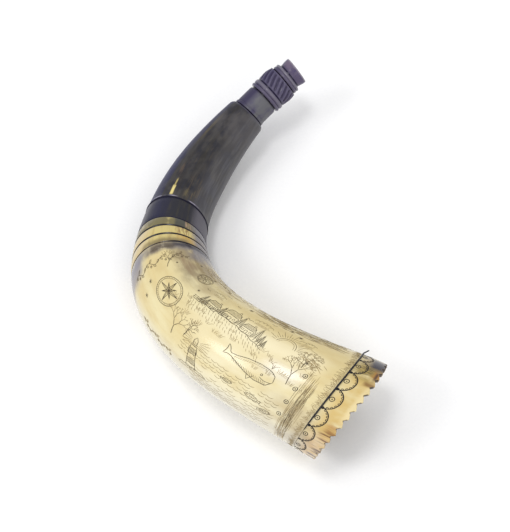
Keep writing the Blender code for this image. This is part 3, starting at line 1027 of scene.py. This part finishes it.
def strokeLayout(name, drawing):
    # the strokes as chains of points on the flat layout, evenly split so that they can bend
    points, edges, widths, tones = [], [], [], []
    for corners, width, tone in drawing:
        corners = np.array(corners)
        legs = np.linalg.norm(np.diff(corners, axis=0), axis=1)
        reach = np.concatenate([[0], np.cumsum(legs)])
        count = max(1, int(math.ceil(reach[-1] / ink["spacing"])))
        if len(corners) > 2:
            count = max(count, len(corners) - 1)
        at = np.linspace(0, reach[-1], count + 1)
        first = len(points)
        for index, place in enumerate(at):
            u, v = (np.interp(place, reach, corners[:, axis]) for axis in (0, 1))
            wobble = ink["unsteady"] if len(corners) > 2 or index else 0.0
            points.append(((u + dice.uniform(-wobble, wobble)) / millimetres,
                           (v + dice.uniform(-wobble, wobble)) / millimetres, ink["lift"]))
            ends = min(index, count - index) == 0
            tapers = ends and width < ink["taperBelow"]
            widths.append(width / millimetres * (ink["taper"] if tapers else 1.0))
            tones.append(tone)
            if index:
                edges.append((first + index - 1, first + index))
    mesh = bpy.data.meshes.new(name + "Layout")
    mesh.from_pydata(points, edges, [])
    keepValues(mesh, "lineWidth", widths)
    keepValues(mesh, "tone", tones)
    return mesh


def swept(tree, chains, section, sizeName):
    # a bar along each chain of points, as large as the points' own value says
    curve = addNode(tree, "GeometryNodeMeshToCurve", {"Mesh": chains}).outputs["Curve"]
    curve = addNode(tree, "GeometryNodeSetCurveNormal", {"Curve": curve}, mode="Z_UP").outputs[0]
    size = addNode(tree, "GeometryNodeInputNamedAttribute", {"Name": sizeName},
                   data_type="FLOAT").outputs["Attribute"]
    return addNode(tree, "GeometryNodeCurveToMesh",
                   {"Curve": curve, "Profile Curve": section, "Scale": size, "Fill Caps": True}).outputs[0]


def buildInkTree():
    tree, given = startTree("inkTree", ["Flatness"])
    section = addNode(tree, "GeometryNodeCurvePrimitiveQuadrilateral",
                      {"Width": 1.0, "Height": given["Flatness"]}).outputs[0]
    endTree(tree, given, swept(tree, given["Geometry"], section, "lineWidth"))
    return tree


inkTree = buildInkTree()


def buildEngraving(name, drawing, material):
    engraving = madeByTree(name, strokeLayout(name, drawing), inkTree, {"Flatness": ink["flatness"]},
                           material)
    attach(engraving, "root")


# the black strip lies round the border, and its end has sprung clear
strip = {
    "station": 0.0159,
    "width": 0.0010,
    "height": 0.0008,
    "gap": 0.0003,
    "span": (-60, 68),
    "thinEnd": 0.45,
    "thinOver": 36,
    "tailFrom": 64,
    "tailLift": 0.0028,
    "tailSwing": 0.0022,
    "sides": 12,
    "points": 129,
}


def stripLayout():
    angles = np.linspace(*strip["span"], strip["points"])
    free = np.clip((angles - strip["tailFrom"]) / (strip["span"][1] - strip["tailFrom"]), 0, 1)
    middle = strip["gap"] + strip["height"] / 2
    points = np.stack([strip["station"] - strip["tailSwing"] * free,
                       np.radians(angles) * hornShape["arcRadius"], middle + strip["tailLift"] * free], 1)
    mesh = chainMesh("stripLayout", points)
    thickness = np.clip(strip["thinEnd"] + (angles - strip["span"][0]) / strip["thinOver"], 0, 1)
    keepValues(mesh, "thickness", thickness)
    return mesh


def buildStrip(material):
    # a flattened round bar swept along its own line
    tree, given = startTree("stripTree", ["Width", "Height"])
    section = addNode(tree, "GeometryNodeCurvePrimitiveCircle",
                      {"Resolution": strip["sides"], "Radius": 0.5}).outputs["Curve"]
    size = addNode(tree, "ShaderNodeCombineXYZ", {0: given["Width"], 1: given["Height"], 2: 1.0}).outputs[0]
    section = addNode(tree, "GeometryNodeTransform", {"Geometry": section, "Scale": size}).outputs[0]
    endTree(tree, given, swept(tree, given["Geometry"], section, "thickness"))
    piece = madeByTree("borderStrip", stripLayout(), tree,
                       {"Width": strip["width"], "Height": strip["height"]}, material)
    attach(piece, "root")
    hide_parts("border_strip")


def newMaterial(name):
    material = bpy.data.materials.new(name)
    material.use_nodes = True
    tree = material.node_tree
    return material, tree, tree.nodes["Principled BSDF"]


def attribute(tree, name, output="Fac"):
    return addNode(tree, "ShaderNodeAttribute", attribute_name=name).outputs[output]


def calculate(tree, operation, *values):
    return addNode(tree, "ShaderNodeMath", dict(enumerate(values)), operation=operation).outputs[0]


def product(tree, *factors):
    result = factors[0]
    for factor in factors[1:]:
        result = calculate(tree, "MULTIPLY", result, factor)
    return result


def ramp(tree, value, start, end):
    # 0 before start, 1 after end, and smooth between; the other way round if start is larger
    low, high, flip = (start, end, False) if start < end else (end, start, True)
    made = addNode(tree, "ShaderNodeMapRange", {"Value": value, "From Min": low, "From Max": high,
                                                "To Min": float(flip), "To Max": float(not flip)},
                   interpolation_type="SMOOTHSTEP")
    return made.outputs[0]


def between(tree, value, low, high, edge):
    # 1 between low and high, easing to 0 over edge on both sides
    rise = ramp(tree, value, low - edge, low + edge)
    return product(tree, rise, ramp(tree, value, high + edge, high - edge))


def noise(tree, vector, scale, detail):
    # scale is one over the size, so many features to a metre along each way
    placed = addNode(tree, "ShaderNodeMapping", {"Vector": vector, "Scale": scale}).outputs[0]
    return addNode(tree, "ShaderNodeTexNoise", {"Vector": placed, "Scale": 1.0, "Detail": detail}).outputs[0]


def blended(tree, amount, first, second):
    # first where amount is 0, second where it is 1; a hex value becomes a colour
    pair = [linearColour(colour) if isinstance(colour, str) else colour for colour in (first, second)]
    # a mix node's colours are its sockets 6 and 7 and its output 2
    mixed = addNode(tree, "ShaderNodeMix", {0: amount, 6: pair[0], 7: pair[1]}, data_type="RGBA")
    return mixed.outputs[2]


# Stations are in millimetres here. A grain is its scale and its detail, and a gloss is a roughness,
# how uneven that is, and how strongly it mirrors. The inside, the cut edge and the darkening of each
# nick's steep side are each a strength and a colour, and the scratches are a strength and a depth in metres.
hornFinish = {
    "grains": {"cloud": ((42, 42, 22), 3.0), "patch": ((150, 150, 90), 4.0), "fibre": ((330, 330, 26), 4.0),
               "fine": ((1250, 1250, 60), 3.0), "speck": ((700, 700, 700), 3.0)},
    "strayAlong": 5.0,
    "strayRound": 9.0,
    "straightEnds": 1,
    "zoneEdge": 0.8,
    "lineEdge": 0.16,
    "lineFade": 10,
    "cream": "#DED3A8",
    "band": "#C9B878",
    "black": "#2B2B32",
    "nozzle": "#48435D",
    "paleGloss": (0.15, 0.07, 0.42),
    "blackGloss": (0.38, 0.08, 0.22),
    "nozzleSmoother": 0.27,
    "nozzleFrom": (331, 332),
    "insideRougher": 0.3,
    "scratches": (0.12, 0.0001),
    "ior": 1.45,
    "bandsFrom": 163.5,
    "spoutFrom": 313.6,
    "rimFade": (40, 20),
    "inside": (0.9, "#8F7B50"),
    "cutEdge": (0.5, "#8B7048"),
    # the darkening of each nick's steep side
    "nickSteepDark": (0.9, "#2A211E"),
}
# Each stain or painted light: stations and how softly they end, girth angles and how softly they
# end, the grain that breaks it up and its range, how strong it is, and its colour. Ends no softer
# than straightEnds stay straight. A stain or painted light has no end on a side that lies off the
# horn: a station below 0 or at pastEnd, or an angle past 180 either way.
allAlong = None
allRound = None
pastEnd = 400
paleStainsAndPaintedLight = (
    (allAlong, allRound, "cloud", (0.34, 0.64), 0.8, "#D2BF88"),
    (allAlong, allRound, "patch", (0.42, 0.70), 0.3, "#BFA873"),
    (allAlong, allRound, "fibre", (0.52, 0.80), 0.4, "#CDB47E"),
    ((16, 100, 16), (-400, 4, 16), "cloud", (0.66, 0.34), 0.7, "#E8E0C2"),
    ((60, 104, 12), (-34, 12, 12), "patch", (0.00, 0.60), 0.55, "#E9DFBB"),
    ((28, 82, 8), (-6, 18, 10), "patch", (0.00, 0.40), 0.85, "#EBE0BC"),
    ((20, 125, 16), (14, 90, 16), "cloud", (0.30, 0.66), 0.3, "#CDBA86"),
    ((104, 162, 12), (8, 60, 10), "patch", (0.10, 0.60), 0.6, "#968461"),
    ((-9, 44, 10), (-90, -38, 10), "patch", (0.10, 0.60), 0.35, "#A8977A"),
    ((164, 170.5, 1.5), (-60, 30, 10), "patch", (0.20, 0.50), 0.5, "#8C7E5E"),
    ((124, 160, 6), (2, 60, 8), "patch", (0.25, 0.60), 0.5, "#7C6D57"),
    # a painted highlight: a whitish patch where the lamp above shines back
    ((33, 54, 6), (-26, -8, 6), "patch", (0.00, 0.45), 0.45, "#E9E7E2"),
    # a painted reflection: the outer, lower side pales to grey-white
    ((-9, 160, 20), (-260, -74, 16), "cloud", (0.10, 0.40), 0.7, "#D3CFC2"),
    ((18, 160, 10), (54, 76, 8), "fibre", (0.44, 0.66), 0.6, "#8C7C68"),
    ((60, 140, 12), (42, 60, 10), "fine", (0.52, 0.72), 0.35, "#9A8466"),
    ((-2, 13, 4), allRound, "patch", (0.20, 0.60), 0.8, "#C9AB66"),
    ((-2, 3.5, 1.5), (-34, 8, 14), "patch", (0.20, 0.60), 0.7, "#EBDDB0"),
    ((-2, 7, 3), (-62, -40, 6), "fibre", (0.38, 0.60), 0.75, "#A8743A"),
    ((-2, 12, 3), (-120, -58, 8), "fibre", (0.20, 0.50), 0.35, "#C9A795"),
    ((-2, 7, 2), (-110, -50, 8), "fibre", (0.45, 0.58), 0.8, "#3C2A2E"),
    ((9, 22, 4), (-96, -56, 8), "patch", (0.15, 0.55), 0.45, "#8E7F6E"),
    ((3, 14, 2.5), (12, 34, 6), "patch", (0.25, 0.55), 0.75, "#94803F"),
    ((5, 14, 2.5), (16, 34, 6), "fine", (0.45, 0.60), 0.6, "#4A3F2C"),
    ((1, 6.5, 1.2), (6, 12, 3), "patch", (0.36, 0.56), 0.8, "#7A5530"),
    ((0, 5, 1.5), (16, 30, 5), "patch", (0.30, 0.55), 0.8, "#A5702F"),
    ((1.8, 3.4, 0.7), (15, 27, 3), "patch", (0.20, 0.40), 0.8, "#3A2A30"),
    ((-2, 9, 2.5), (30, 56, 5), "fibre", (0.10, 0.34), 0.97, "#17152E"),
    ((9, 15, 2.5), (36, 56, 5), "fibre", (0.30, 0.60), 0.7, "#4C4038"),
    ((-2, 14, 3), (58, 90, 5), "fibre", (0.10, 0.34), 0.7, "#6E6C72"),
    ((23, 30, 3), (-95, -26, 14), "patch", (0.30, 0.62), 0.3, "#80694A"),
    ((144, 163, 5), (28, 92, 10), "patch", (0.20, 0.50), 0.85, "#7C787C"),
    ((156, 163.8, 2.5), (-120, 70, 10), "patch", (0.15, 0.50), 0.7, "#6E6A70"),
    ((159, 163.8, 2.0), (4, 70, 8), "patch", (0.10, 0.45), 0.9, "#302E3A"),
    ((157, 163.8, 2.5), (-28, 8, 8), "patch", (0.36, 0.56), 0.8, "#4E4236"),
    ((148, 163.8, 5), (-104, -42, 10), "patch", (0.15, 0.45), 0.8, "#777584"),
    ((130, 150, 8), (8, 60, 12), "fibre", (0.46, 0.66), 0.6, "#8A7358"),
)
bandStains = (
    ((160, 200, 1), allRound, "fibre", (0.45, 0.70), 0.6, "#A68C58"),
    ((160, 200, 1), (-150, -32, 12), "cloud", (0.10, 0.40), 0.7, "#C8B48E"),
    ((160, 174, 1), (14, 48, 10), "cloud", (0.10, 0.40), 0.7, "#BE9850"),
    ((174, 183, 1), (10, 34, 5), "fine", (0.46, 0.60), 0.75, "#8A6A48"),
    ((182, 195, 0.6), allRound, "patch", (0.15, 0.45), 0.9, "#625C42"),
    ((182, 195, 0.6), (8, 26, 4), "patch", (0.10, 0.30), 0.9, "#43443F"),
    ((182, 195, 0.6), (25, 38, 3), "fine", (0.45, 0.58), 0.7, "#A58876"),
    ((160, 200, 1), (40, 190, 8), "fine", (0.10, 0.45), 0.9, "#6F6C76"),
    ((160, 168, 2), (-40, 34, 10), "patch", (0.05, 0.45), 0.85, "#7A6C4C"),
)
blackStainsAndPaintedLight = (
    ((180, pastEnd, 1), allRound, "fibre", (0.46, 0.72), 0.6, "#423E32"),
    ((212, 320, 2), (-36, 34, 14), "fine", (0.50, 0.72), 0.35, "#4E4233"),
    # a painted reflection: pale grey-lilac on the left side of the dark band
    ((190, 212, 1), (-104, -50, 12), "cloud", (0.10, 0.40), 0.8, "#5E5C66"),
    ((190, 212, 1), (-46, -12, 14), "fibre", (0.10, 0.50), 0.6, "#1F1F42"),
    # a painted reflection: grey on the right side of the dark band
    ((190, 212, 1), (38, 120, 10), "cloud", (0.10, 0.40), 0.8, "#605D66"),
    ((212, pastEnd, 1), (-200, -36, 12), "cloud", (0.10, 0.40), 0.9, "#24242C"),
    ((212, pastEnd, 1), (-84, -36, 10), "cloud", (0.10, 0.40), 0.9, "#222350"),
    # a painted reflection: grey along the right side of the neck
    ((212, pastEnd, 1), (30, 120, 16), "cloud", (0.10, 0.40), 0.8, "#5C5B60"),
    ((212, 312, 2), (-44, 90, 16), "patch", (0.36, 0.62), 0.35, "#5C5850"),
    ((212, 312, 2), (-60, 90, 16), "fibre", (0.36, 0.60), 0.4, "#201F26"),
    ((214.4, 224, 1), (-18.4, -11.6, 1.4), "speck", (0.00, 0.20), 1.0, "#DCCB86"),
    ((222, 231, 2), (-16.5, -13.4, 1.4), "speck", (0.00, 0.20), 0.9, "#B5A468"),
    ((217, 223, 2), (9, 14, 1.6), "fine", (0.30, 0.60), 0.45, "#7C704C"),
    ((216, 236, 6), (8, 34, 6), "fine", (0.48, 0.64), 0.45, "#665842"),
    ((234, 250, 6), (-24, -12, 4), "fine", (0.44, 0.64), 0.45, "#625246"),
    ((274, 298, 8), (-31, -24, 3), "fine", (0.30, 0.60), 0.6, "#6B6046"),
    # a painted highlight along the lip behind the fine line, on both sides
    ((212.6, 213.4, 0.4), (-70, -4, 6), "patch", (0.35, 0.55), 0.8, "#B9B2CC"),
    ((212.6, 213.4, 0.4), (22, 42, 5), "patch", (0.30, 0.50), 0.8, "#B9B2CC"),
    ((288, 314, 10), (-38, 120, 8), "patch", (0.24, 0.64), 0.5, "#565356"),
)
nozzleStainsAndPaintedLight = (
    ((300, pastEnd, 1), allRound, "fibre", (0.40, 0.70), 0.5, "#353052"),
    ((331, pastEnd, 1), (-10, 130, 20), "cloud", (0.05, 0.35), 0.8, "#5F596C"),
    ((314, 331.6, 0.8), (-150, -4, 12), "cloud", (0.10, 0.40), 0.8, "#37334C"),
    # a painted reflection: grey on the right half of the cylinder
    ((314, 331.6, 0.8), (0, 120, 14), "patch", (0.20, 0.60), 0.9, "#636366"),
    ((338.7, 350.7, 0.3), allRound, "patch", (0.20, 0.60), 0.4, "#3A3553"),
    # painted shade in the flute hollows, then a painted highlight on their ridges
    ((338.7, 350.7, 0.3), allRound, "hollow", (0.20, 0.80), 0.6, "#28233E"),
    ((338.7, 350.7, 0.3), allRound, "hollow", (0.20, 0.00), 0.2, "#6A657E"),
    # painted highlights: lighter bands on the crests of two beads
    ((335.6, 337.4, 0.5), allRound, "patch", (0.20, 0.50), 0.7, "#706C77"),
    ((354.0, 355.8, 0.5), allRound, "patch", (0.20, 0.50), 0.7, "#7A7682"),
    ((357.2, pastEnd, 1), allRound, "patch", (0.10, 0.40), 0.8, "#574E66"),
    ((357.2, pastEnd, 1), allRound, "speck", (0.50, 0.66), 0.4, "#3A3366"),
    ((357.2, pastEnd, 1), (-150, -34, 10), "patch", (0.10, 0.40), 0.7, "#403C60"),
    ((358.5, pastEnd, 1), (-32, 10, 10), "patch", (0.20, 0.50), 0.6, "#75687A"),
    ((362.8, pastEnd, 0.3), allRound, "speck", (0.20, 0.50), 0.7, "#948E98"),
)
# a dark turned line over a groove or cut line: its station, its half width, its girth angles and its colour
paleLines = (
    (164.3, 0.60, allRound, "#33261F"),
    (164.3, 1.00, (2, 100), "#16121E"),
    (172.9, 0.92, allRound, "#15111B"),
    (182.1, 0.95, allRound, "#17131D"),
    (190.8, 0.60, allRound, "#14132A"),
)
blackLines = (
    (190.8, 0.60, allRound, "#14132A"),
    (211.4, 0.55, allRound, "#14132A"),
    # from the shoulder on, these lines are painted shade in the nozzle's creases and grooves
    (315.2, 0.60, allRound, "#141022"),
    (331.6, 0.45, allRound, "#141022"),
    (338.5, 0.60, allRound, "#1B1732"),
    (350.8, 0.45, allRound, "#141022"),
    (356.8, 0.50, allRound, "#1E1A34"),
)


def hornMaterial(name, zones, lines, gloss):
    # each zone starts at a station, with a colour and its stains and painted light, and lies over the one
    # before
    material, tree, shader = newMaterial(name)
    unbent = attribute(tree, "unbent", "Vector")
    cut = attribute(tree, "cut")
    inside = attribute(tree, "inside")
    x, y, z = addNode(tree, "ShaderNodeSeparateXYZ", {0: unbent}).outputs
    station = calculate(tree, "MULTIPLY", z, millimetres)
    angle = calculate(tree, "MULTIPLY", calculate(tree, "ARCTAN2", x, y), 180 / math.pi)
    finish = hornFinish
    noises = {name: noise(tree, unbent, *values) for name, values in finish["grains"].items()}
    noises["hollow"] = attribute(tree, "hollow")
    # noise moves the ends of the stains and painted light along and round the horn
    along, around = finish["strayAlong"], finish["strayRound"]
    strayStation = calculate(tree, "MULTIPLY_ADD", noises["patch"], along,
                             calculate(tree, "SUBTRACT", station, along / 2))
    strayAngle = calculate(tree, "MULTIPLY_ADD", noises["fibre"], around,
                           calculate(tree, "SUBTRACT", angle, around / 2))
    colour = None
    for start, base, stainsAndPaintedLight in zones:
        zone = base
        for stations, angles, grain, (low, high), strength, code in stainsAndPaintedLight:
            parts = [ramp(tree, noises[grain], low, high), strength]
            if stations:
                straight = stations[2] <= finish["straightEnds"]
                parts.append(between(tree, station if straight else strayStation, *stations))
            if angles:
                parts.append(between(tree, strayAngle, *angles))
            zone = blended(tree, product(tree, *parts), zone, code)
        if start:
            reached = ramp(tree, station, start, start + finish["zoneEdge"])
            zone = blended(tree, reached, colour, zone)
        colour = zone
    for centre, halfWidth, angles, code in lines:
        line = between(tree, station, centre - halfWidth, centre + halfWidth, finish["lineEdge"])
        if angles:
            line = product(tree, line, between(tree, angle, *angles, finish["lineFade"]))
        colour = blended(tree, line, colour, code)
    # the bore and the cut rim are raw horn, and the steep side of each nick is darkened
    rim = ramp(tree, station, *finish["rimFade"])
    cutEdge = calculate(tree, "MINIMUM", cut, 1.0)
    steep = calculate(tree, "MAXIMUM", calculate(tree, "SUBTRACT", cut, 1.0), 0.0)
    for (strength, code), factors in ((finish["inside"], [inside]), (finish["cutEdge"], [cutEdge, rim]),
                                      (finish["nickSteepDark"], [steep, rim])):
        colour = blended(tree, product(tree, *factors, strength), colour, code)
    tree.links.new(colour, shader.inputs["Base Color"])
    rough, uneven, mirror = gloss
    roughness = calculate(tree, "MULTIPLY_ADD", noises["fine"], uneven, rough)
    roughness = calculate(tree, "MULTIPLY_ADD", inside, finish["insideRougher"], roughness)
    smoother = product(tree, ramp(tree, station, *finish["nozzleFrom"]), finish["nozzleSmoother"])
    roughness = calculate(tree, "SUBTRACT", roughness, smoother)
    tree.links.new(roughness, shader.inputs["Roughness"])
    shader.inputs["IOR"].default_value = finish["ior"]
    shader.inputs["Specular IOR Level"].default_value = mirror
    strength, distance = finish["scratches"]
    scratches = addNode(tree, "ShaderNodeBump", {"Height": noises["fine"], "Strength": strength,
                                                 "Distance": distance})
    tree.links.new(scratches.outputs[0], shader.inputs["Normal"])
    return material


def paleHornMaterial():
    # scraped and polished cow horn: cream and honey, stained in fibres along the horn, with a
    # waxy gloss and a painted whitish patch that give one clear highlight, and a painted pale
    # reflection along the outer side
    zones = ((0, hornFinish["cream"], paleStainsAndPaintedLight), (hornFinish["bandsFrom"], hornFinish["band"], bandStains))
    return hornMaterial("polishedPaleHorn", zones, paleLines, hornFinish["paleGloss"])


def blackHornMaterial():
    # the same horn where it grew black: grey and brown streaks under a duller, softer sheen, with
    # painted grey reflections at the sides, painted highlights on the lip and the nozzle's beads and
    # flute ridges, and painted shade in the nozzle's grooves and flute hollows
    zones = ((0, hornFinish["black"], blackStainsAndPaintedLight),
             (hornFinish["spoutFrom"], hornFinish["nozzle"], nozzleStainsAndPaintedLight))
    return hornMaterial("polishedBlackHorn", zones, blackLines, hornFinish["blackGloss"])


inkFinish = {
    "colours": ("#B29A6A", "#120E14"),
    "grain": ((500, 500, 500), 2.0),
    "worn": (0.1, 0.45),
    "roughness": 0.6,
    "ior": 1.4,
}
stripFinish = {
    "colours": ("#0B0910", "#1E1B24"),
    "grain": ((300, 300, 4000), 2.0),
    "roughness": 0.5,
    "ior": 1.4,
}
paperFinish = {
    "colours": ("#F6F6F8", "#FDFDFD"),
    "grain": ((500, 500, 500), 2.0),
    "roughness": 0.95,
}


def inkMaterial():
    # lamp-black rubbed into a cut: matt, browner where the cut is shallow
    material, tree, shader = newMaterial("rubbedInk")
    tone = attribute(tree, "tone")
    unbent = attribute(tree, "unbent", "Vector")
    worn = noise(tree, unbent, *inkFinish["grain"])
    depth = product(tree, tone, ramp(tree, worn, *inkFinish["worn"]))
    tree.links.new(blended(tree, depth, *inkFinish["colours"]), shader.inputs["Base Color"])
    shader.inputs["Roughness"].default_value = inkFinish["roughness"]
    shader.inputs["IOR"].default_value = inkFinish["ior"]
    return material


def stripMaterial():
    # split baleen or black horn, shaved flat: dark, with a dull sheen along its fibres
    material, tree, shader = newMaterial("shavedBlackStrip")
    unbent = attribute(tree, "unbent", "Vector")
    fibre = noise(tree, unbent, *stripFinish["grain"])
    tree.links.new(blended(tree, fibre, *stripFinish["colours"]), shader.inputs["Base Color"])
    shader.inputs["Roughness"].default_value = stripFinish["roughness"]
    shader.inputs["IOR"].default_value = stripFinish["ior"]
    return material


def paperMaterial():
    # seamless studio paper: matt and white
    material, tree, shader = newMaterial("studioPaper")
    place = addNode(tree, "ShaderNodeTexCoord").outputs["Object"]
    grain = noise(tree, place, *paperFinish["grain"])
    tree.links.new(blended(tree, grain, *paperFinish["colours"]), shader.inputs["Base Color"])
    shader.inputs["Roughness"].default_value = paperFinish["roughness"]
    return material


studio = {
    "floorSize": 14.0,
    "sky": "#FFFFFF",
    "skyStrength": 0.78,
    "lights": {
        "keyLight": {"place": (-1.20, -0.45, 1.30), "size": (0.65, 0.65), "roll": 0, "power": 6.9},
        "topLight": {"place": (-0.28, -0.15, 1.60), "size": (0.38, 0.46), "roll": 34, "power": 5.3},
        "frontLight": {"place": (0.45, -1.30, 1.10), "size": (1.2, 1.2), "roll": 0, "power": 4.0},
    },
}


def buildStudio():
    reach = studio["floorSize"] / 2
    mesh = bpy.data.meshes.new("paperFloor")
    mesh.from_pydata([(-reach, -reach, 0), (reach, -reach, 0), (reach, reach, 0), (-reach, reach, 0)], [],
                     [(0, 1, 2, 3)])
    mesh.materials.append(paperMaterial())
    floor = addObject("paperFloor", mesh)
    world = bpy.data.worlds.new("softSky")
    world.use_nodes = True
    sky = world.node_tree.nodes["Background"]
    sky.inputs["Color"].default_value = linearColour(studio["sky"])
    sky.inputs["Strength"].default_value = studio["skyStrength"]
    bpy.context.scene.world = world
    middle = (np.array(cadBounds[0]) + np.array(cadBounds[1])) / 2
    for name, values in studio["lights"].items():
        data = bpy.data.lights.new(name, "AREA")
        data.shape = "ELLIPSE"
        data.size, data.size_y = values["size"]
        data.energy = values["power"]
        lamp = addObject(name, data)
        offset = np.array(values["place"])
        lamp.location = (middle + offset).tolist()
        aim = Vector(-offset).to_track_quat("-Z", "Y")
        lamp.rotation_euler = (aim @ Quaternion((0, 0, 1), math.radians(values["roll"]))).to_euler()
    # a plain curve keeps the paper white and the horn's own colours
    bpy.context.scene.view_settings.view_transform = "Standard"


buildHorn(paleHornMaterial(), blackHornMaterial())
rubbedInk = inkMaterial()
buildEngraving("borderEngraving", borderCuts(), rubbedInk)
buildEngraving("pictureEngraving", pictureCuts() + shadingCuts(), rubbedInk)
buildEngraving("plainSideEngraving", hiddenSideCuts(), rubbedInk)
print("engraving cut")
buildStrip(stripMaterial())
print("strip laid")
buildStudio()
print("studio set")

bpy.data.objects.remove(hornLine)
